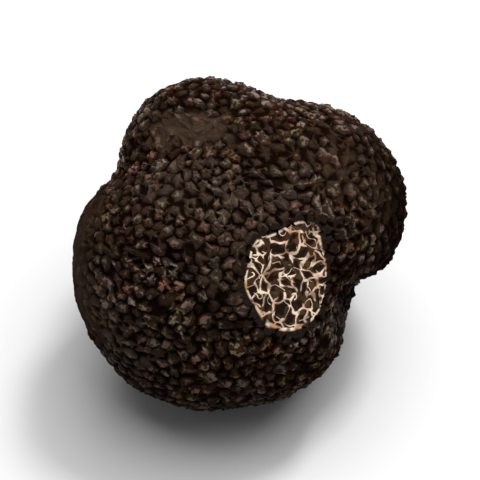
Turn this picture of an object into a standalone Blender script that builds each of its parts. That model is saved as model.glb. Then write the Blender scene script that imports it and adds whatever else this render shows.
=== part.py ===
"""A whole black truffle: a lobed, warty tuber with one thin slice shaved off, which bares its marbled flesh.

The constants are in millimetres and the scene is in metres, with +Z up. The origin is on the ground,
under the middle of the truffle. The truffle grew as one piece, so it is one solid.
"""

import bmesh
import bpy
import numpy as np
from mathutils import Vector, noise

MM = 0.001

# The heart is the point that all lobes are measured from. It stands above the ground, and the ground
# plane cuts the small flat spot that the truffle rests on.
HEART = (0.5, -1.1, 21.6)

# Each lobe is a ball: its centre, seen from the heart, and its radius. The blend is a power: the higher it
# is, the sharper the creases between lobes.
LOBES = {
    "core": ((0, 0, 0), 20.0),
    "front left": ((-9.0, -4.5, 2.5), 16.0),
    "left foot": ((-7.0, -6.5, -5.0), 15.0),
    "left shoulder": ((-5.5, 9.0, 10.0), 12.0),
    "right brow": ((9.5, 4.0, 5.5), 14.5),
    "front foot": ((0.5, -7.5, -4.0), 14.5),
    "back": ((-2.0, 8.5, -1.5), 16.0),
    "back right": ((6.0, 9.5, -5.5), 13.0),
    "crown": ((1.5, 2.5, 6.5), 15.5),
    "base": ((0.5, 1.0, -6.0), 17.0),
}
LOBE_BLEND = 16

# Each hollow is a soft dent along a line between two points, seen from the heart, with its depth and width.
HOLLOWS = {
    "shoulder notch": ((-19, 5, 8), (-12, 0, 18), 1.0, 4.0),
    "worn dimple": ((-11.5, 6, 20), (-4, 5, 21.5), 0.9, 4.0),
    "front furrow": ((-11, -15, 14), (-3, -20, 5), 1.4, 2.6),
    "low pit": ((-14, -19, 4), (-10, -20, 1), 1.0, 2.2),
    "under brow": ((18, -3, -7.5), (17, -11, -0.5), 6.5, 4.5),
    "back fold": ((-6, 20, 6), (8, 19, -4), 2.4, 3.2),
    "left pit": ((-19, -2, -9), (-17, 6, -8), 2.0, 3.0),
    "right pit": ((18, 9, 8), (14, 15, 4), 2.0, 3.2),
}

# The whole body swells and sinks a little everywhere.
SWELL_HEIGHT = 0.55
SWELL_LENGTH = 8.0

# The warts are low pyramids, packed edge to edge. The spacing is the least between two tips, before the
# evening, and the spread is the share by which a tip is higher or lower than the others.
WART_SPACING = 1.62
WART_HEIGHT = 0.92
WART_HEIGHT_SPREAD = 0.20
TRIES_PER_WART = 12
EVENING_ROUNDS = 1
SEED = 11

# The shaved slice: the middle of the bare face, seen from the heart, and the way the face looks.
NICK_CENTRE = (6.2, -14.7, 10.7)
NICK_NORMAL = (0.37, -0.735, 0.565)

SKIN_COLOUR = (0.028, 0.019, 0.014, 1.0)
SKIN_ROUGHNESS = 0.6


def unit(vectors):
    return vectors / np.linalg.norm(vectors, axis=-1, keepdims=True)


def lobe_reach(directions):
    """How far the blended lobes reach from the heart, along each direction."""
    total = np.zeros(len(directions))
    for centre, radius in LOBES.values():
        along = directions @ np.array(centre, float)
        under_root = along**2 - np.dot(centre, centre) + radius**2
        reach = along + np.sqrt(np.maximum(under_root, 0))
        total += np.where(under_root > 0, np.maximum(reach, 0), 0) ** LOBE_BLEND
    return total ** (1 / LOBE_BLEND)


def distance_to_line(points, start, end):
    start, end = np.array(start, float), np.array(end, float)
    run = end - start
    share = np.clip((points - start) @ run / (run @ run), 0, 1)
    return np.linalg.norm(points - start - share[:, None] * run, axis=1)


def body_points(directions):
    """The points of the smooth body under the warts, seen from the heart."""
    directions = unit(directions)
    reach = lobe_reach(directions)
    on_lobes = directions * reach[:, None]
    for start, end, depth, width in HOLLOWS.values():
        reach -= depth * np.exp(-((distance_to_line(on_lobes, start, end) / width) ** 2))
    swells = [noise.noise(Vector(point / SWELL_LENGTH)) for point in on_lobes]
    reach += SWELL_HEIGHT * np.array(swells)
    return directions * reach[:, None]


def evaluated_copy(mesh, node_tree):
    """The mesh that the node tree makes of this one, which is then removed."""
    guide = bpy.data.objects.new("guide", mesh)
    bpy.context.scene.collection.objects.link(guide)
    guide.modifiers.new("nodes", "NODES").node_group = node_tree
    graph = bpy.context.evaluated_depsgraph_get()
    made = bpy.data.meshes.new_from_object(guide.evaluated_get(graph))
    bpy.data.objects.remove(guide)
    bpy.data.meshes.remove(mesh)
    return made


def new_node_tree(name):
    """An empty geometry node tree, with its input and output nodes."""
    tree = bpy.data.node_groups.new(name, "GeometryNodeTree")
    for way in ("INPUT", "OUTPUT"):
        tree.interface.new_socket("Geometry", in_out=way, socket_type="NodeSocketGeometry")
    return tree, tree.nodes.new("NodeGroupInput"), tree.nodes.new("NodeGroupOutput")


def scatter_nodes():
    """Strews points over a surface, none nearer to another than the wart spacing."""
    tree, start, end = new_node_tree("scatter")
    scatter = tree.nodes.new("GeometryNodeDistributePointsOnFaces")
    scatter.distribute_method = "POISSON"
    scatter.inputs["Distance Min"].default_value = WART_SPACING
    scatter.inputs["Density Max"].default_value = TRIES_PER_WART / WART_SPACING**2
    scatter.inputs["Seed"].default_value = SEED
    vertices = tree.nodes.new("GeometryNodePointsToVertices")
    tree.links.new(start.outputs[0], scatter.inputs["Mesh"])
    tree.links.new(scatter.outputs["Points"], vertices.inputs[0])
    tree.links.new(vertices.outputs[0], end.inputs[0])
    return tree


def dual_nodes():
    """Turns each corner of a net into a face, and each face into a corner."""
    tree, start, end = new_node_tree("dual")
    dual = tree.nodes.new("GeometryNodeDualMesh")
    tree.links.new(start.outputs[0], dual.inputs[0])
    tree.links.new(dual.outputs[0], end.inputs[0])
    return tree


def corners_of(mesh):
    return np.array([vertex.co for vertex in mesh.vertices])


def smooth_body():
    """The body with no warts, as a fine ball pushed out to the lobes."""
    ball = bmesh.new()
    bmesh.ops.create_icosphere(ball, subdivisions=5, radius=1)
    mesh = bpy.data.meshes.new("smooth body")
    ball.to_mesh(mesh)
    ball.free()
    mesh.vertices.foreach_set("co", body_points(corners_of(mesh)).ravel())
    return mesh


def cells_round(points, dual):
    """The wart outlines: a mesh with one face round each of these points, its corners on the body."""
    net = bmesh.new()
    for direction in unit(points):
        net.verts.new(direction)
    bmesh.ops.convex_hull(net, input=net.verts)
    bmesh.ops.recalc_face_normals(net, faces=net.faces)
    mesh = bpy.data.meshes.new("net")
    net.to_mesh(mesh)
    net.free()
    cells = evaluated_copy(mesh, dual)
    cells.vertices.foreach_set("co", body_points(corners_of(cells)).ravel())
    return cells


def wart_cells():
    """Wart outlines all over the body, evened out as warts that push against each other are."""
    dual = dual_nodes()
    points = corners_of(evaluated_copy(smooth_body(), scatter_nodes()))
    for _ in range(EVENING_ROUNDS):
        points = np.array([face.center for face in cells_round(points, dual).polygons])
    return cells_round(points, dual)


def raise_warts(cells):
    """Raises each outline to a pyramid, some higher and some lower, and scales the mesh to metres."""
    random = np.random.default_rng(SEED)
    shape = bmesh.new()
    shape.from_mesh(cells)
    outward = {face.index: face.normal.copy() for face in shape.faces}
    made = bmesh.ops.poke(shape, faces=shape.faces, offset=WART_HEIGHT)
    for tip, normal in zip(made["verts"], outward.values()):
        tip.co += normal * WART_HEIGHT * WART_HEIGHT_SPREAD * random.uniform(-1, 1)
    bmesh.ops.scale(shape, vec=(MM, MM, MM), verts=shape.verts)
    shape.to_mesh(cells)
    shape.free()
    return cells


def add_cutter(name, centre, outward, collection):
    """A block whose near face lies at centre and looks against outward: it removes all that lies beyond."""
    side = 60 * MM
    bpy.ops.mesh.primitive_cube_add(size=side)
    cutter = bpy.context.object
    cutter.name = name
    direction = Vector(outward).normalized()
    cutter.rotation_euler = direction.to_track_quat("Z", "Y").to_euler()
    cutter.location = Vector(centre) * MM + direction * side / 2
    cutter.hide_render = True
    cutter.display_type = "WIRE"
    for holder in list(cutter.users_collection):
        holder.objects.unlink(cutter)
    collection.objects.link(cutter)
    return cutter


def cut(body, cutter):
    modifier = body.modifiers.new(cutter.name, "BOOLEAN")
    modifier.operation = "DIFFERENCE"
    modifier.object = cutter


def skin_material():
    material = bpy.data.materials.new("truffle skin")
    material.use_nodes = True
    shader = material.node_tree.nodes["Principled BSDF"]
    shader.inputs["Base Color"].default_value = SKIN_COLOUR
    shader.inputs["Roughness"].default_value = SKIN_ROUGHNESS
    shader.inputs["Metallic"].default_value = 0.0
    material.diffuse_color = SKIN_COLOUR
    return material


def new_collection(name):
    collection = bpy.data.collections.new(name)
    bpy.context.scene.collection.children.link(collection)
    return collection


def main():
    for old in list(bpy.data.objects):
        bpy.data.objects.remove(old)
    parts = new_collection("black truffle")
    cutters = new_collection("cutters")
    truffle = bpy.data.objects.new("truffle", raise_warts(wart_cells()))
    parts.objects.link(truffle)
    truffle.location = Vector(HEART) * MM
    truffle.data.materials.append(skin_material())
    cut(truffle, add_cutter("ground", (0, 0, 0), (0, 0, -1), cutters))
    nick_centre = Vector(HEART) + Vector(NICK_CENTRE)
    cut(truffle, add_cutter("knife", nick_centre, NICK_NORMAL, cutters))


main()
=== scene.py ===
"""The looks of a black truffle: its warty skin, its shaved face with marbled flesh, and a pale studio.

The shape constants are in millimetres, seen from the heart of the truffle. The finished mesh is in metres,
with +Z up and the origin on the ground under the middle of the truffle.
"""

import math

import bmesh
import bpy
import numpy as np
from bpy.props import FloatProperty, FloatVectorProperty, IntProperty, PointerProperty
from bpy.types import NodeSocket, Operator, Panel, PropertyGroup
from mathutils import Matrix, Vector, noise


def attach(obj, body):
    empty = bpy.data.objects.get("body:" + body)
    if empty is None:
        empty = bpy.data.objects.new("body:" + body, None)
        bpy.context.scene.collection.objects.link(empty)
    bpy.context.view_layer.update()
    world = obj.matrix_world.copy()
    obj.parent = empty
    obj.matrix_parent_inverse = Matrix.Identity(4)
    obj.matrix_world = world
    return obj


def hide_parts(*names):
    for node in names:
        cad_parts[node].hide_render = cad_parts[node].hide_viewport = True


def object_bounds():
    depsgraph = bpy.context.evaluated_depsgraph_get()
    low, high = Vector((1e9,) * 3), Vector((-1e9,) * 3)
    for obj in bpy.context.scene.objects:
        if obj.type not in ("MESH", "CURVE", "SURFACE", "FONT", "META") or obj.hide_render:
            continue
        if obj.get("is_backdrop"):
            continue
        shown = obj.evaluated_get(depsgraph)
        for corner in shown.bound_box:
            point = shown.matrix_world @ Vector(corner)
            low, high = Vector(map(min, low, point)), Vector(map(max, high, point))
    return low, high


bl_info = {
    "name": "Black truffle",
    "version": (1, 0, 0),
    "blender": (4, 5, 0),
    "location": "3D View > Sidebar > Truffle",
    "description": "Grows a black truffle with a warty skin and a shaved face, and sets up a pale studio",
    "category": "Add Mesh",
}

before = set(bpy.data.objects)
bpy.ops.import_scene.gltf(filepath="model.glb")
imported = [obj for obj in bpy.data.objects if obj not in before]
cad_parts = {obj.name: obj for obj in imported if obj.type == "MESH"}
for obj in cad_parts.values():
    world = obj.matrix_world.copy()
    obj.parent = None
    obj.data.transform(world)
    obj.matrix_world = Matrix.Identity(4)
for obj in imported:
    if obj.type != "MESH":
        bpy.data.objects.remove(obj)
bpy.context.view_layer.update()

MM = 0.001

# The heart is the point that the shape is measured from, and stands above the ground. The lobes, hollows,
# swells and cuts are those of the solid.
HEART = (0.5, -1.1, 21.6)

# Each lobe is a ball: its centre and its radius. The blend is a power: the higher it is, the sharper the
# creases between lobes.
LOBES = {
    "core": ((0, 0, 0), 20.0),
    "front left": ((-9.0, -4.5, 2.5), 16.0),
    "left foot": ((-7.0, -6.5, -5.0), 15.0),
    "left shoulder": ((-5.5, 9.0, 10.0), 12.0),
    "right brow": ((9.5, 4.0, 5.5), 14.5),
    "front foot": ((0.5, -7.5, -4.0), 14.5),
    "back": ((-2.0, 8.5, -1.5), 16.0),
    "back right": ((6.0, 9.5, -5.5), 13.0),
    "crown": ((1.5, 2.5, 6.5), 15.5),
    "base": ((0.5, 1.0, -6.0), 17.0),
}
LOBE_BLEND = 16

# Each hollow is a soft dent along a line between two points, with its depth and width.
HOLLOWS = {
    "shoulder notch": ((-19, 5, 8), (-12, 0, 18), 1.0, 4.0),
    "worn dimple": ((-11.5, 6, 20), (-4, 5, 21.5), 0.9, 4.0),
    "front furrow": ((-11, -15, 14), (-3, -20, 5), 1.4, 2.6),
    "low pit": ((-14, -19, 4), (-10, -20, 1), 1.0, 2.2),
    "under brow": ((18, -3, -7.5), (17, -11, -0.5), 6.5, 4.5),
    "back fold": ((-6, 20, 6), (8, 19, -4), 2.4, 3.2),
    "left pit": ((-19, -2, -9), (-17, 6, -8), 2.0, 3.0),
    "right pit": ((18, 9, 8), (14, 15, 4), 2.0, 3.2),
}

# The whole body swells and sinks a little everywhere.
SWELL_HEIGHT = 0.55
SWELL_LENGTH = 8.0

# The shaved slice: the middle of the bare face, and the way the face looks.
NICK_CENTRE = (6.2, -14.7, 10.7)
NICK_NORMAL = (0.37, -0.735, 0.565)

# Hollows finer than the solid's, which shape the edge of the slice. A depth below zero is a swelling.
SLICE_EDGE = {
    "right": ((12, -10, 13), (13.5, -13.5, 7.5), 0.4, 2.4),
    "upper left": ((2, -12, 17), (1.5, -13, 16.5), -0.4, 1.8),
    "lower left": ((2, -20.5, 6), (2.5, -20.5, 5.5), -0.3, 1.6),
    "left": ((-0.5, -18.5, 10.5), (0, -19, 9.5), 0.25, 1.6),
}

# Where the skin is rubbed smooth. Each stretch of skin here and below has its start, its end, its width,
# and a strength from 0 to 1.
WORN_PLACES = {
    "dimple": ((-11.5, 6, 20), (-5, 5, 21.5), 3.0, 0.8),
    "left cheek": ((-24.5, -2, 9.5), (-22.5, -10, 0), 6.5, 0.95),
    "left foot": ((-23, -9, -8), (-12, -18, -14), 4.5, 0.3),
    "shoulder edge": ((-19, 12, 9), (-12, 18, 15), 3.5, 0.45),
    "brow": ((13, 1, 19), (20, -2, 13), 5.0, 0.3),
}

# Painted shade: where the skin is made nearly black, in hollows and furrows and on the sides that lie in
# shade.
SHADED_PLACES = {
    "front furrow": ((-10, -16, 13), (-3, -20.5, 5), 2.6, 0.15),
    "low pit": ((-14, -20, 5), (-10, -20, 1), 2.2, 0.2),
    "upper flank": ((-20, 3, 11), (-17, -2, 14), 4.5, 0.4),
    "hollow": ((-16, -1, 15), (-14, -1, 17), 2.2, 0.35),
    "under brow": ((18, -3, -7.5), (17, -11, -0.5), 5.0, 0.6),
    "brow side": ((24, 4, 11), (20, -5, 0), 8.0, 0.92),
    "brow front": ((16, -8, 12), (15, -12, 7), 4.5, 0.5),
    "right foot": ((8, -18, -4), (14, -11, -12), 6.0, 0.6),
}

# Where the skin is lighter: partly dry dust, partly painted light on the top, the brow and the left flank.
DUST_AND_LIGHT_PLACES = {
    "top front": ((-8, -6, 19), (4, -8, 19), 8.0, 0.5),
    "beside the slice": ((-8, -13, 16.5), (-1, -19, 11), 4.5, 0.35),
    "brow": ((13, 1, 19), (20, -2, 13), 5.0, 0.2),
    "left flank": ((-18, -11, 5), (-15, -18, -1), 6.0, 0.55),
    "dimple": ((-11.5, 6, 20), (-5, 5, 21.5), 3.5, 0.28),
}

# The warts are packed edge to edge, and the closer the more tries. Some are then left out, and their
# neighbours fill the gap.
TRIES_PER_WART = 12
MISSING_SHARE = 0.12

# The profile of a wart, from its foot up: how wide each ring is beside the foot, and how high it stands.
# A ridge runs up from each corner of the foot, each wart leans its own way, and the rings are uneven.
WART_PROFILE = ((0.88, 0.30), (0.64, 0.70), (0.32, 0.98))
WART_RIDGE = 0.06
WART_LEAN = 0.30
RING_WOBBLE = 0.10

# The tip lies below or above the last ring, by a share of the wart's height between these two.
TIP_LOW = -0.20
TIP_HIGH = 0.18

# Halfway between two corners of a foot, the groove strays by up to this many millimetres along each axis.
GROOVE_STRAY = 0.20

# The grooves are partly filled, by a share of a wart's height. At a corner of the feet this is at most the
# corner fill, and the higher the power, the rarer a full one. Elsewhere only some are filled, where two
# neighbours are fused.
CORNER_FILL = 0.4
CORNER_FILL_POWER = 3
FUSED_SHARE = 0.30
FUSED_RISE = 0.80

# Where the skin is fully worn, the warts lose this share of their height and the grooves rise by this one.
WORN_LOSS = 0.95
WORN_LIFT = 0.65

# Half the width of the two blocks that cut the ground and the slice, and how many cells run along a side
# of the block of the slice.
GROUND_HALF = 30
KNIFE_HALF = 15
KNIFE_CELLS = 75

# A crease sharper than this isn't smoothed over.
CREASE_ANGLE = math.radians(26)

# The blotches of the materials: how many to a metre, the levels of the noise where a blotch starts and
# where it is full, and how much detail its edge has.
MOTTLES = {
    "clumps": (440, 0.38, 0.58, 1),
    "highlight flecks": (1200, 0.44, 0.52, 1),
    "rust": (420, 0.46, 0.58, 2),
    "olive": (360, 0.48, 0.60, 2),
    "aubergine": (470, 0.50, 0.62, 2),
    "streaks": (520, 0.42, 0.60, 3),
    "soil": (620, 0.66, 0.72, 2),
    "pores": (2400, 0.30, 0.70, 2),
    "vein gaps": (620, 0.40, 0.48, 0),
    "thread gaps": (620, 0.56, 0.46, 0),
    "rim gaps": (560, 0.42, 0.56, 1),
    "brown flesh": (560, 0.48, 0.66, 2),
    "tan veins": (300, 0.45, 0.65, 2),
    "dull veins": (380, 0.38, 0.56, 2),
    "fading": (560, 0.38, 0.56, 1),
}

# How one measure turns smoothly into another: the two levels between which it changes, and what it gives
# at each, which is 0 and 1 where nothing else is said. The rise of a wart is a share of its height, the
# depth of the rim and the rind is in millimetres, and the painted shade near the ground and the dull veins
# go by the place in metres.
RAMPS = {
    "light warts": (0.1, 0.9, 0.10, 1.0),
    "highlight on top": (0.78, 1.0),
    "painted_shade": (0.68, 0.20),
    "groove where worn": (0.8, 0.1, 0.2, 0.95),
    "soil": (0.9, 0.3),
    "ground shade": (0.027, 0.003, 0.0, 0.85),
    "shine where worn": (0.5, 0.1),
    "shine on top": (0.45, 0.80),
    "shine where dark": (0.6, 0.1),
    "skin roughness": (0.0, 1.0, 1.0, 0.25),
    "vein": (0.125, 0.058),
    "thread": (0.026, 0.010),
    "halo": (0.26, 0.10),
    "rim": (0.03, -0.02),
    "rind": (-0.05, -0.14),
    "dull veins": (-0.0005, -0.004),
    "fading": (0.0, 1.0, 0.46, 1.0),
    "flesh roughness": (0.0, 1.0, 0.45, 0.6),
}

# How much of an effect shows where it is full.
CLUMP_SHARE = 0.5
STREAK_SHARE = 0.3
SOIL_SHARE = 0.5
HALO_SHARE = 0.5
DULL_SHARE = 0.75

# The veins run along the walls of a net of cells, bent by a slow noise, and fine threads run where another
# noise is at one level. The scales are to a metre, and the bend is in metres.
VEIN_SCALE = 520
THREAD_SCALE = 500
THREAD_LEVEL = 0.47
BEND_SCALE = 420
BEND_LENGTH = 0.0026
NOISE_MIDDLE = (0.5, 0.5, 0.5)

# The shine of the two surfaces, and the depth of their fine relief in metres.
SKIN_SPECULAR = 0.02
FLESH_SPECULAR = 0.12
SKIN_RELIEF = 0.00005
FLESH_RELIEF = 0.00012

# The studio: how wide the lights and the floor are, and where the lights stand, in metres.
KEY_SIZE = 0.80
KEY_PLACE = (0.08, 0.12, 0.64)
SPARKLE_SIZE = 0.12
SPARKLE_PLACE = (0.15, 0.17, 0.56)
FLOOR_SIZE = 4
FLOOR_ROUGHNESS = 0.9


def unit(vectors):
    return vectors / np.linalg.norm(vectors, axis=-1, keepdims=True)


def lobe_reach(directions):
    """How far the blended lobes reach from the heart, along each direction."""
    total = np.zeros(len(directions))
    for centre, radius in LOBES.values():
        along = directions @ np.array(centre, float)
        under_root = along**2 - np.dot(centre, centre) + radius**2
        reach = along + np.sqrt(np.maximum(under_root, 0))
        total += np.where(under_root > 0, np.maximum(reach, 0), 0) ** LOBE_BLEND
    return total ** (1 / LOBE_BLEND)


def distance_to_line(points, start, end):
    start, end = np.array(start, float), np.array(end, float)
    run = end - start
    share = np.clip((points - start) @ run / (run @ run), 0, 1)
    return np.linalg.norm(points - start - share[:, None] * run, axis=1)


def body_reach(directions):
    """How far the smooth body under the warts reaches from the heart, along each unit direction."""
    reach = lobe_reach(directions)
    on_lobes = directions * reach[:, None]
    for start, end, depth, width in (*HOLLOWS.values(), *SLICE_EDGE.values()):
        reach -= depth * np.exp(-((distance_to_line(on_lobes, start, end) / width) ** 2))
    swells = [noise.noise(Vector(point / SWELL_LENGTH)) for point in on_lobes]
    return reach + SWELL_HEIGHT * np.array(swells)


def body_points(directions):
    directions = unit(directions)
    return directions * body_reach(directions)[:, None]


def nearness(points, places):
    """How near these points lie to any of the places, from 0 to 1."""
    near = np.zeros(len(points))
    for start, end, width, strength in places.values():
        near = np.maximum(near, strength * np.exp(-((distance_to_line(points, start, end) / width) ** 2)))
    return near


def corners_of(mesh):
    return np.array([vertex.co for vertex in mesh.vertices])


def evaluated_copy(mesh, node_tree):
    """The mesh that the node tree makes of this one, which is then removed."""
    guide = bpy.data.objects.new("guide", mesh)
    bpy.context.scene.collection.objects.link(guide)
    guide.modifiers.new("nodes", "NODES").node_group = node_tree
    graph = bpy.context.evaluated_depsgraph_get()
    made = bpy.data.meshes.new_from_object(guide.evaluated_get(graph))
    bpy.data.objects.remove(guide)
    bpy.data.meshes.remove(mesh)
    return made


def new_shape_nodes(name):
    """An empty geometry node tree, with its input and output nodes."""
    tree = bpy.data.node_groups.new(name, "GeometryNodeTree")
    for way in ("INPUT", "OUTPUT"):
        tree.interface.new_socket("Geometry", in_out=way, socket_type="NodeSocketGeometry")
    return tree, tree.nodes.new("NodeGroupInput"), tree.nodes.new("NodeGroupOutput")


def scatter_nodes(spacing, seed):
    """Strews points over a surface, none nearer to another than the spacing."""
    tree, start, end = new_shape_nodes("scatter")
    scatter = tree.nodes.new("GeometryNodeDistributePointsOnFaces")
    scatter.distribute_method = "POISSON"
    scatter.inputs["Distance Min"].default_value = spacing
    scatter.inputs["Density Max"].default_value = TRIES_PER_WART / spacing**2
    scatter.inputs["Seed"].default_value = seed
    vertices = tree.nodes.new("GeometryNodePointsToVertices")
    tree.links.new(start.outputs[0], scatter.inputs["Mesh"])
    tree.links.new(scatter.outputs["Points"], vertices.inputs[0])
    tree.links.new(vertices.outputs[0], end.inputs[0])
    return tree


def dual_nodes():
    """Turns each corner of a net into a face, and each face into a corner."""
    tree, start, end = new_shape_nodes("dual")
    dual = tree.nodes.new("GeometryNodeDualMesh")
    tree.links.new(start.outputs[0], dual.inputs[0])
    tree.links.new(dual.outputs[0], end.inputs[0])
    return tree


def smooth_body():
    """The body with no warts, as a fine ball pushed out to the lobes."""
    ball = bmesh.new()
    bmesh.ops.create_icosphere(ball, subdivisions=5, radius=1)
    mesh = bpy.data.meshes.new("smooth body")
    ball.to_mesh(mesh)
    ball.free()
    mesh.vertices.foreach_set("co", body_points(corners_of(mesh)).ravel())
    return mesh


def cells_round(points, dual):
    """The wart feet: a mesh with one face round each of these points, its corners on the body."""
    net = bmesh.new()
    for direction in unit(points):
        net.verts.new(direction)
    bmesh.ops.convex_hull(net, input=net.verts)
    bmesh.ops.recalc_face_normals(net, faces=net.faces)
    mesh = bpy.data.meshes.new("net")
    net.to_mesh(mesh)
    net.free()
    cells = evaluated_copy(mesh, dual)
    cells.vertices.foreach_set("co", body_points(corners_of(cells)).ravel())
    return cells


def wart_feet(spacing, seed):
    """Wart feet all over the body, of uneven sizes: some are missing, and their neighbours fill the gap."""
    points = corners_of(evaluated_copy(smooth_body(), scatter_nodes(spacing, seed)))
    kept = np.random.default_rng(seed).random(len(points)) > MISSING_SHARE
    return cells_round(points[kept], dual_nodes())


def fill_grooves(shape, height, random):
    """Bends the grooves, and fills or lifts some of them. Gives the corners of the feet."""
    ridged = set(shape.verts)
    bmesh.ops.bisect_edges(shape, edges=shape.edges, cuts=1)
    shape.normal_update()
    kept = 1 - WORN_LOSS * nearness(np.array([corner.co for corner in shape.verts]), WORN_PLACES)
    for corner, share in zip(shape.verts, kept):
        filled = CORNER_FILL * random.random() ** CORNER_FILL_POWER
        if corner not in ridged:
            corner.co += Vector(random.uniform(-1, 1, 3)) * GROOVE_STRAY
            filled = FUSED_RISE * random.random() if random.random() < FUSED_SHARE else 0.0
        corner.co += corner.normal * height * (filled * share + WORN_LIFT * (1 - share))
    return ridged


def raise_warts(feet, height, unevenness, seed):
    """Raises a ridged, leaning wart, ring by ring, from each foot, and notes its tone."""
    random = np.random.default_rng(seed)
    shape = bmesh.new()
    shape.from_mesh(feet)
    ridged = fill_grooves(shape, height, random)
    faces = list(shape.faces)
    centres = np.array([face.calc_center_median() for face in faces])
    heights = height * (1 + unevenness * random.uniform(-1, 1, len(faces)))
    heights *= 1 - WORN_LOSS * nearness(centres, WORN_PLACES)
    tones = random.random(len(faces))
    outward = [face.normal.copy() for face in faces]
    leans = [Vector(random.uniform(-1, 1, 3)) * WART_LEAN for face in faces]
    feet_of = [[(corner.co.copy(), corner in ridged) for corner in face.verts] for face in faces]
    tone_note = shape.verts.layers.float.new("wart_tone")
    for width, rise in WART_PROFILE:
        bmesh.ops.inset_individual(shape, faces=faces, thickness=0.0)
        for wart, face in enumerate(faces):
            middle = Vector(centres[wart])
            for corner, (start, on_ridge) in zip(face.verts, feet_of[wart]):
                out = start - middle
                level = rise + WART_RIDGE * (1 if on_ridge else -1) + out.dot(leans[wart]) * rise
                level += random.uniform(-RING_WOBBLE, RING_WOBBLE)
                corner.co = middle + out * (width + random.uniform(-RING_WOBBLE, RING_WOBBLE))
                corner.co += outward[wart] * heights[wart] * level
                corner[tone_note] = tones[wart]
    tips = bmesh.ops.poke(shape, faces=faces)["verts"]
    for tip, normal, tall, tone in zip(tips, outward, heights, tones):
        tip.co += normal * tall * random.uniform(TIP_LOW, TIP_HIGH)
        tip[tone_note] = tone
    mesh = bpy.data.meshes.new("warts")
    shape.to_mesh(mesh)
    shape.free()
    bpy.data.meshes.remove(feet)
    return mesh


def slab(name, centre, outward, half, cells, material):
    """A block with a gridded near face at centre: it removes all that lies beyond."""
    block = bmesh.new()
    bmesh.ops.create_grid(block, x_segments=cells, y_segments=cells, size=half)
    near = list(block.faces)
    far = bmesh.ops.extrude_face_region(block, geom=near, use_keep_orig=True)["geom"]
    raised = [item for item in far if isinstance(item, bmesh.types.BMVert)]
    bmesh.ops.translate(block, vec=(0, 0, half), verts=raised)
    bmesh.ops.recalc_face_normals(block, faces=block.faces)
    mesh = bpy.data.meshes.new(name)
    block.to_mesh(mesh)
    block.free()
    mesh.materials.append(material)
    cutter = bpy.data.objects.new(name, mesh)
    bpy.context.scene.collection.objects.link(cutter)
    cutter.rotation_euler = Vector(outward).to_track_quat("Z", "Y").to_euler()
    cutter.location = centre
    return cutter


def cut(body, cutter):
    """Takes the cutter's space from the body, which gets the cutter's material there."""
    modifier = body.modifiers.new("cut", "BOOLEAN")
    modifier.operation = "DIFFERENCE"
    modifier.solver = "MANIFOLD"
    modifier.object = cutter
    graph = bpy.context.evaluated_depsgraph_get()
    made = bpy.data.meshes.new_from_object(body.evaluated_get(graph))
    body.modifiers.clear()
    old = body.data
    body.data = made
    bpy.data.meshes.remove(old)
    bpy.data.objects.remove(cutter)


def note_on_mesh(mesh, name, values):
    """Stores one number for each corner of the mesh, for the materials to read."""
    layer = mesh.attributes.new(name, "FLOAT", "POINT")
    layer.data.foreach_set("value", np.asarray(values, np.float32))


def note_skin(mesh, height):
    """Notes how far each corner is over or under the body, how worn it is, how much shade is painted on it,
    and how much dust and painted light it has.
    """
    points = corners_of(mesh)
    distances = np.linalg.norm(points, axis=1)
    over_body = distances - body_reach(points / distances[:, None])
    note_on_mesh(mesh, "wart_rise", over_body / height)
    note_on_mesh(mesh, "flesh_depth", -over_body)
    for name, places in (("worn", WORN_PLACES), ("shaded", SHADED_PLACES), ("dust_and_light", DUST_AND_LIGHT_PLACES)):
        note_on_mesh(mesh, name, nearness(points, places))


class Net:
    """A node tree, with a short way to add a node and fill its sockets."""

    def __init__(self, tree):
        self.tree = tree

    def add(self, kind, sockets=None, **settings):
        node = self.tree.nodes.new(kind)
        for name, value in settings.items():
            setattr(node, name, value)
        for socket, value in (sockets or {}).items():
            if isinstance(value, NodeSocket):
                self.tree.links.new(value, node.inputs[socket])
            else:
                node.inputs[socket].default_value = value
        return node

    def mix(self, share, first, second, blend="MIX"):
        """The two colours mixed by share, with 0 giving the first. Sockets go by number."""
        sockets = {0: share, 6: first, 7: second}
        return self.add("ShaderNodeMix", sockets, data_type="RGBA", blend_type=blend).outputs[2]

    def math(self, operation, first, second=0.0):
        return self.add("ShaderNodeMath", {0: first, 1: second}, operation=operation).outputs[0]

    def remap(self, value, low, high, to_low=0.0, to_high=1.0):
        """The value with low..high spread smoothly over to_low..to_high."""
        sockets = {"Value": value, "From Min": low, "From Max": high, "To Min": to_low, "To Max": to_high}
        return self.add("ShaderNodeMapRange", sockets, interpolation_type="SMOOTHSTEP").outputs[0]

    def ramp(self, value, name):
        return self.remap(value, *RAMPS[name])

    def noted(self, name):
        """The number that the mesh holds under this name."""
        return self.add("ShaderNodeAttribute", attribute_name=name).outputs["Fac"]

    def mottle(self, place, name):
        """The blotches of this name, as a mask from 0 to 1."""
        scale, low, high, detail = MOTTLES[name]
        sockets = {"Place": place, "Scale": scale, "Detail": detail, "Low": low, "High": high}
        return self.add("ShaderNodeGroup", sockets, node_tree=mottle_group()).outputs["Mask"]


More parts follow.
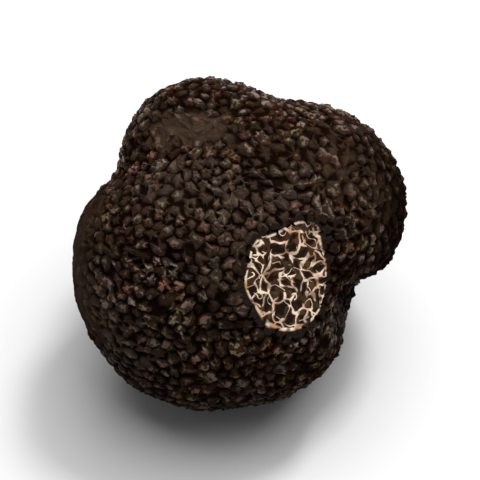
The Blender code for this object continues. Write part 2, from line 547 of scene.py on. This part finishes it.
def mottle_group():
    """Soft-edged blotches, as a mask from 0 to 1: where the noise passes from low to high."""
    if "mottle" in bpy.data.node_groups:
        return bpy.data.node_groups["mottle"]
    tree = bpy.data.node_groups.new("mottle", "ShaderNodeTree")
    tree.interface.new_socket("Place", in_out="INPUT", socket_type="NodeSocketVector")
    for name, value in (("Scale", 500.0), ("Detail", 2.0), ("Low", 0.4), ("High", 0.6)):
        tree.interface.new_socket(name, in_out="INPUT", socket_type="NodeSocketFloat").default_value = value
    tree.interface.new_socket("Mask", in_out="OUTPUT", socket_type="NodeSocketFloat")
    net = Net(tree)
    given = net.add("NodeGroupInput").outputs
    sockets = {"Vector": given["Place"], "Scale": given["Scale"], "Detail": given["Detail"]}
    clouds = net.add("ShaderNodeTexNoise", sockets).outputs["Fac"]
    net.add("NodeGroupOutput", {"Mask": net.remap(clouds, given["Low"], given["High"])})
    return tree


def opaque(colour):
    return (*colour, 1)


def new_material(name, specular):
    material = bpy.data.materials.new(name)
    material.use_nodes = True
    shader = material.node_tree.nodes["Principled BSDF"]
    shader.inputs["Specular IOR Level"].default_value = specular
    net = Net(material.node_tree)
    place = net.add("ShaderNodeTexCoord").outputs["Object"]
    return material, net, shader, place


def finish_with(net, shader, colour, roughness, relief, depth):
    """Feeds the shader, with the relief as a bump of this depth in metres."""
    bump = net.add("ShaderNodeBump", {"Height": relief, "Distance": depth})
    net.tree.links.new(colour, shader.inputs["Base Color"])
    net.tree.links.new(roughness, shader.inputs["Roughness"])
    net.tree.links.new(bump.outputs["Normal"], shader.inputs["Normal"])


def skin_material(colours):
    """Brown-black skin: each wart has its own tone and a painted highlight on its top, painted shade darkens
    the grooves, the hollows and the skin near the ground, and soil sits in some grooves.
    """
    material, net, shader, place = new_material("truffle skin", SKIN_SPECULAR)
    rise = net.noted("wart_rise")
    worn = net.noted("worn")
    shaded = net.noted("shaded")
    tone = net.mix(CLUMP_SHARE, net.noted("wart_tone"), net.mottle(place, "clumps"))
    hues = net.mix(tone, opaque(colours.skin_dark), opaque(colours.skin_light))
    # Painted highlights: pale flecks on the tops of the warts, stronger on the lighter warts.
    tips = net.math("MULTIPLY", net.ramp(rise, "highlight on top"), net.ramp(tone, "light warts"))
    tips = net.math("MULTIPLY", net.mottle(place, "highlight flecks"), tips)
    hues = net.mix(tips, hues, opaque(colours.tip_highlight))
    tints = {"rust": colours.tint_rust, "olive": colours.tint_olive, "aubergine": colours.tint_aubergine}
    for name, tint in tints.items():
        hues = net.mix(net.mottle(place, name), hues, opaque(tint), "MULTIPLY")
    streaks = net.math("MULTIPLY", net.mottle(place, "streaks"), STREAK_SHARE)
    rubbed = net.mix(streaks, opaque(colours.worn), opaque(colours.skin_dark))
    hues = net.mix(worn, hues, rubbed)
    # Dust, and painted light on the top and flanks: the skin is made lighter.
    hues = net.mix(net.noted("dust_and_light"), hues, opaque(colours.dust_and_lit_skin))
    # Painted shade: the grooves between the warts are darkened, less where the skin is worn.
    painted_shade = net.math("MULTIPLY", net.ramp(rise, "painted_shade"), net.ramp(worn, "groove where worn"))
    hues = net.mix(painted_shade, hues, opaque(colours.painted_shade))
    soil = net.math("MULTIPLY", net.mottle(place, "soil"), net.ramp(rise, "soil"))
    hues = net.mix(net.math("MULTIPLY", soil, SOIL_SHARE), hues, opaque(colours.soil))
    height = net.add("ShaderNodeSeparateXYZ", {0: place}).outputs["Z"]
    # Painted shade: the skin is darkened towards the ground and in the shaded places.
    shade = net.math("MAXIMUM", net.ramp(height, "ground shade"), shaded)
    hues = net.mix(shade, hues, opaque(colours.painted_shade))
    shine = net.math("MULTIPLY", net.ramp(worn, "shine where worn"), net.ramp(rise, "shine on top"))
    shine = net.math("MULTIPLY", shine, net.ramp(shaded, "shine where dark"))
    roughness = net.ramp(shine, "skin roughness")
    finish_with(net, shader, hues, roughness, net.mottle(place, "pores"), SKIN_RELIEF)
    return material


def flat_on_slice(net, place):
    """The place laid flat on the bare face, and how far it lies to the left on it, in metres."""
    outward = Vector(NICK_NORMAL)
    left = outward.cross((0, 0, 1)).normalized()
    upward = left.cross(outward).normalized()
    leftward, risen = (
        net.add("ShaderNodeVectorMath", {0: place, 1: axis}, operation="DOT_PRODUCT").outputs["Value"]
        for axis in (left, upward)
    )
    flat = net.add("ShaderNodeCombineXYZ", {0: leftward, 1: risen}).outputs[0]
    return flat, leftward


def marbling(net, flat):
    """The mask of veins and threads, and how far each spot is from the nearest wall of the veins' net."""
    clouds = net.add("ShaderNodeTexNoise", {"Vector": flat, "Scale": BEND_SCALE, "Detail": 1})
    sockets = {0: clouds.outputs["Color"], 1: NOISE_MIDDLE}
    push = net.add("ShaderNodeVectorMath", sockets, operation="SUBTRACT")
    push = net.add("ShaderNodeVectorMath", {0: push.outputs[0], "Scale": BEND_LENGTH}, operation="SCALE")
    bent = net.add("ShaderNodeVectorMath", {0: flat, 1: push.outputs[0]}).outputs[0]
    cells = net.add(
        "ShaderNodeTexVoronoi",
        {"Vector": bent, "Scale": VEIN_SCALE},
        feature="DISTANCE_TO_EDGE",
        voronoi_dimensions="2D",
    )
    walls = cells.outputs["Distance"]
    veins = net.math("MULTIPLY", net.ramp(walls, "vein"), net.mottle(flat, "vein gaps"))
    smooth = net.add("ShaderNodeTexNoise", {"Vector": flat, "Scale": THREAD_SCALE, "Detail": 0})
    off_level = net.math("ABSOLUTE", net.math("SUBTRACT", smooth.outputs["Fac"], THREAD_LEVEL))
    threads = net.math("MULTIPLY", net.ramp(off_level, "thread"), net.mottle(bent, "thread gaps"))
    return net.math("MAXIMUM", veins, threads), walls


def flesh_material(colours):
    """Marbled flesh: pale veins wander through dark brown, duller at the right, within a broken pale rim."""
    material, net, shader, place = new_material("shaved flesh", FLESH_SPECULAR)
    depth = net.noted("flesh_depth")
    flat, leftward = flat_on_slice(net, place)
    veins, walls = marbling(net, flat)
    rim = net.math("MULTIPLY", net.ramp(depth, "rim"), net.mottle(flat, "rim gaps"))
    veins = net.math("MAXIMUM", veins, rim)
    halo = net.math("MULTIPLY", net.ramp(walls, "halo"), HALO_SHARE)
    browner = net.math("MAXIMUM", net.mottle(flat, "brown flesh"), halo)
    flesh = net.mix(browner, opaque(colours.flesh_dark), opaque(colours.flesh_brown))
    dull = net.math("MULTIPLY", net.ramp(leftward, "dull veins"), net.mottle(flat, "dull veins"))
    tan = net.math("MAXIMUM", net.mottle(flat, "tan veins"), net.math("MULTIPLY", dull, DULL_SHARE))
    pale = net.mix(tan, opaque(colours.vein), opaque(colours.vein_tan))
    strength = net.ramp(net.mottle(flat, "fading"), "fading")
    hues = net.mix(net.math("MULTIPLY", veins, strength), flesh, pale)
    hues = net.mix(net.ramp(depth, "rind"), hues, opaque(colours.skin_dark))
    finish_with(net, shader, hues, net.ramp(veins, "flesh roughness"), veins, FLESH_RELIEF)
    return material


def colour_property(name, description, default):
    return FloatVectorProperty(
        name=name, description=description, subtype="COLOR", size=3, min=0, max=1, default=default
    )


class TruffleShape(PropertyGroup):
    """The sizes of the warts."""

    wart_spacing: FloatProperty(
        name="Wart spacing",
        description="Least distance between the middles of two warts",
        default=0.00152,
        min=0.0009,
        max=0.004,
        precision=5,
        unit="LENGTH",
    )
    wart_height: FloatProperty(
        name="Wart height",
        description="Mean height of a wart over its groove",
        default=0.00048,
        min=0,
        max=0.002,
        precision=5,
        unit="LENGTH",
    )
    unevenness: FloatProperty(
        name="Unevenness",
        description="Share by which warts are higher or lower than the mean",
        default=0.35,
        min=0,
        max=1,
        subtype="FACTOR",
    )
    seed: IntProperty(name="Seed", description="Chooses another scatter of the warts", default=5, min=0)


class TruffleColours(PropertyGroup):
    """The colours of the skin and of the flesh, with the shade and the highlights painted on the skin."""

    skin_dark: colour_property("Dark skin", "The darkest warts", (0.0115, 0.0055, 0.0031))
    skin_light: colour_property("Light skin", "The lightest warts", (0.034, 0.0204, 0.0131))
    tint_rust: colour_property("Rust tint", "Cast of the redder patches", (1.0, 0.74, 0.58))
    tint_olive: colour_property("Olive tint", "Cast of the greener patches", (0.90, 0.94, 0.66))
    tint_aubergine: colour_property("Aubergine tint", "Cast of the purple patches", (1.0, 0.76, 0.90))
    # Painted highlights on the tips of the warts.
    tip_highlight: colour_property("Wart highlights", "Painted highlights on the tips of the warts", (0.178, 0.142, 0.116))
    # Dust, and painted light.
    dust_and_lit_skin: colour_property("Dust and painted light", "Where the skin is dusty, and where light is painted on it", (0.060, 0.0415, 0.0310))
    # Painted shade: the near-black laid into the grooves and the shaded places.
    painted_shade: colour_property("Painted shade", "Painted shade in the grooves and the shaded places", (0.0040, 0.0014, 0.0007))
    soil: colour_property("Soil", "Specks of soil in the grooves", (0.120, 0.060, 0.025))
    worn: colour_property("Worn skin", "Where the skin is rubbed smooth", (0.033, 0.0185, 0.0108))
    flesh_dark: colour_property("Dark flesh", "The darkest flesh", (0.010, 0.004, 0.002))
    flesh_brown: colour_property("Brown flesh", "The lighter flesh between veins", (0.085, 0.041, 0.018))
    vein: colour_property("Veins", "The palest veins", (1.0, 0.785, 0.60))
    vein_tan: colour_property("Tan veins", "The veins that are darker", (0.500, 0.272, 0.150))


class TruffleStudio(PropertyGroup):
    """The camera, the lights and the floor."""

    camera_height: FloatProperty(
        name="Camera angle",
        description="Angle at which the camera looks down",
        default=math.radians(50),
        min=0,
        max=math.pi / 2,
        subtype="ANGLE",
    )
    camera_distance: FloatProperty(
        name="Camera distance", description="From the truffle", default=0.55, min=0.1, unit="LENGTH"
    )
    frame_width: FloatProperty(
        name="Frame width",
        description="Width of the picture at the truffle",
        default=0.072,
        min=0.01,
        precision=4,
        unit="LENGTH",
    )
    key_power: FloatProperty(
        name="Key power", description="Power of the large soft light above", default=5.9, min=0, unit="POWER"
    )
    sparkle_power: FloatProperty(
        name="Sparkle power",
        description="Power of the small light that puts glints on the warts",
        default=1.9,
        min=0,
        unit="POWER",
    )
    room_light: FloatProperty(
        name="Room light", description="Strength of the even light from all sides", default=0.18, min=0
    )
    floor: colour_property("Floor", "The pale floor", (0.70, 0.70, 0.70))


class TRUFFLE_OT_grow(Operator):
    """Grow the truffle, with its warts, its shaved face and its materials"""

    bl_idname = "truffle.grow"
    bl_label = "Grow truffle"

    def execute(self, context):
        sizes = context.scene.truffle_shape
        colours = context.scene.truffle_colours
        height = sizes.wart_height / MM
        feet = wart_feet(sizes.wart_spacing / MM, sizes.seed)
        mesh = raise_warts(feet, height, sizes.unevenness, sizes.seed)
        skin = skin_material(colours)
        flesh = flesh_material(colours)
        mesh.materials.append(skin)
        mesh.materials.append(flesh)
        truffle = bpy.data.objects.new("warty_truffle", mesh)
        context.scene.collection.objects.link(truffle)
        below = (0, 0, -HEART[2])
        cut(truffle, slab("ground", below, (0, 0, -1), GROUND_HALF, 1, skin))
        cut(truffle, slab("knife", NICK_CENTRE, NICK_NORMAL, KNIFE_HALF, KNIFE_CELLS, flesh))
        note_skin(truffle.data, height)
        truffle.data.transform(Matrix.Scale(MM, 4) @ Matrix.Translation(HEART))
        truffle.data.shade_smooth()
        truffle.data.set_sharp_from_angle(angle=CREASE_ANGLE)
        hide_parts("truffle")
        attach(truffle, "root")
        return {"FINISHED"}


class TRUFFLE_OT_studio(Operator):
    """Set up the pale floor, the soft lights and the camera"""

    bl_idname = "truffle.studio"
    bl_label = "Set up studio"

    def execute(self, context):
        studio = context.scene.truffle_studio
        low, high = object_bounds()
        middle = (low + high) / 2
        self.add_floor(context, studio)
        self.light_room(context, studio)
        self.add_light(context, "key", studio.key_power, KEY_SIZE, KEY_PLACE, middle)
        self.add_light(context, "sparkle", studio.sparkle_power, SPARKLE_SIZE, SPARKLE_PLACE, middle)
        self.add_camera(context, studio, middle)
        return {"FINISHED"}

    def add_floor(self, context, studio):
        bpy.ops.mesh.primitive_plane_add(size=FLOOR_SIZE)
        floor = context.object
        floor.name = "floor"
        material = bpy.data.materials.new("pale floor")
        material.use_nodes = True
        shader = material.node_tree.nodes["Principled BSDF"]
        shader.inputs["Base Color"].default_value = opaque(studio.floor)
        shader.inputs["Roughness"].default_value = FLOOR_ROUGHNESS
        shader.inputs["Specular IOR Level"].default_value = 0.0
        floor.data.materials.append(material)
        floor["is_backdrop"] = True

    def light_room(self, context, studio):
        world = bpy.data.worlds.new("soft room")
        world.use_nodes = True
        background = world.node_tree.nodes["Background"]
        background.inputs["Color"].default_value = (1, 1, 1, 1)
        background.inputs["Strength"].default_value = studio.room_light
        context.scene.world = world
        context.scene.view_settings.view_transform = "Standard"

    def add_light(self, context, name, power, size, place, target):
        """A square light that looks at the target."""
        light = bpy.data.lights.new(name, "AREA")
        light.size = size
        light.energy = power
        lamp = bpy.data.objects.new(name, light)
        context.scene.collection.objects.link(lamp)
        lamp.location = place
        lamp.rotation_euler = (target - lamp.location).to_track_quat("-Z", "Y").to_euler()

    def add_camera(self, context, studio, middle):
        data = bpy.data.cameras.new("camera")
        data.lens = data.sensor_width * studio.camera_distance / studio.frame_width
        camera = bpy.data.objects.new("camera", data)
        context.scene.collection.objects.link(camera)
        angle = studio.camera_height
        back = Vector((0, -math.cos(angle), math.sin(angle)))
        camera.location = middle + back * studio.camera_distance
        camera.rotation_euler = (-back).to_track_quat("-Z", "Y").to_euler()
        context.scene.camera = camera


class TRUFFLE_PT_panel(Panel):
    """Lists the settings of the truffle and of its studio"""

    bl_idname = "TRUFFLE_PT_panel"
    bl_label = "Black truffle"
    bl_space_type = "VIEW_3D"
    bl_region_type = "UI"
    bl_category = "Truffle"

    def draw(self, context):
        groups = (
            ("truffle_shape", "truffle.grow"),
            ("truffle_colours", "truffle.grow"),
            ("truffle_studio", "truffle.studio"),
        )
        for group, operator in groups:
            box = self.layout.box()
            settings = getattr(context.scene, group)
            for name in settings.__annotations__:
                box.prop(settings, name)
            box.operator(operator)


CLASSES = (
    TruffleShape,
    TruffleColours,
    TruffleStudio,
    TRUFFLE_OT_grow,
    TRUFFLE_OT_studio,
    TRUFFLE_PT_panel,
)


def register():
    for each in CLASSES:
        bpy.utils.register_class(each)
    bpy.types.Scene.truffle_shape = PointerProperty(type=TruffleShape)
    bpy.types.Scene.truffle_colours = PointerProperty(type=TruffleColours)
    bpy.types.Scene.truffle_studio = PointerProperty(type=TruffleStudio)


def unregister():
    del bpy.types.Scene.truffle_studio
    del bpy.types.Scene.truffle_colours
    del bpy.types.Scene.truffle_shape
    for each in reversed(CLASSES):
        bpy.utils.unregister_class(each)


def main():
    register()
    bpy.ops.truffle.grow()
    bpy.ops.truffle.studio()


if __name__ == "__main__":
    main()
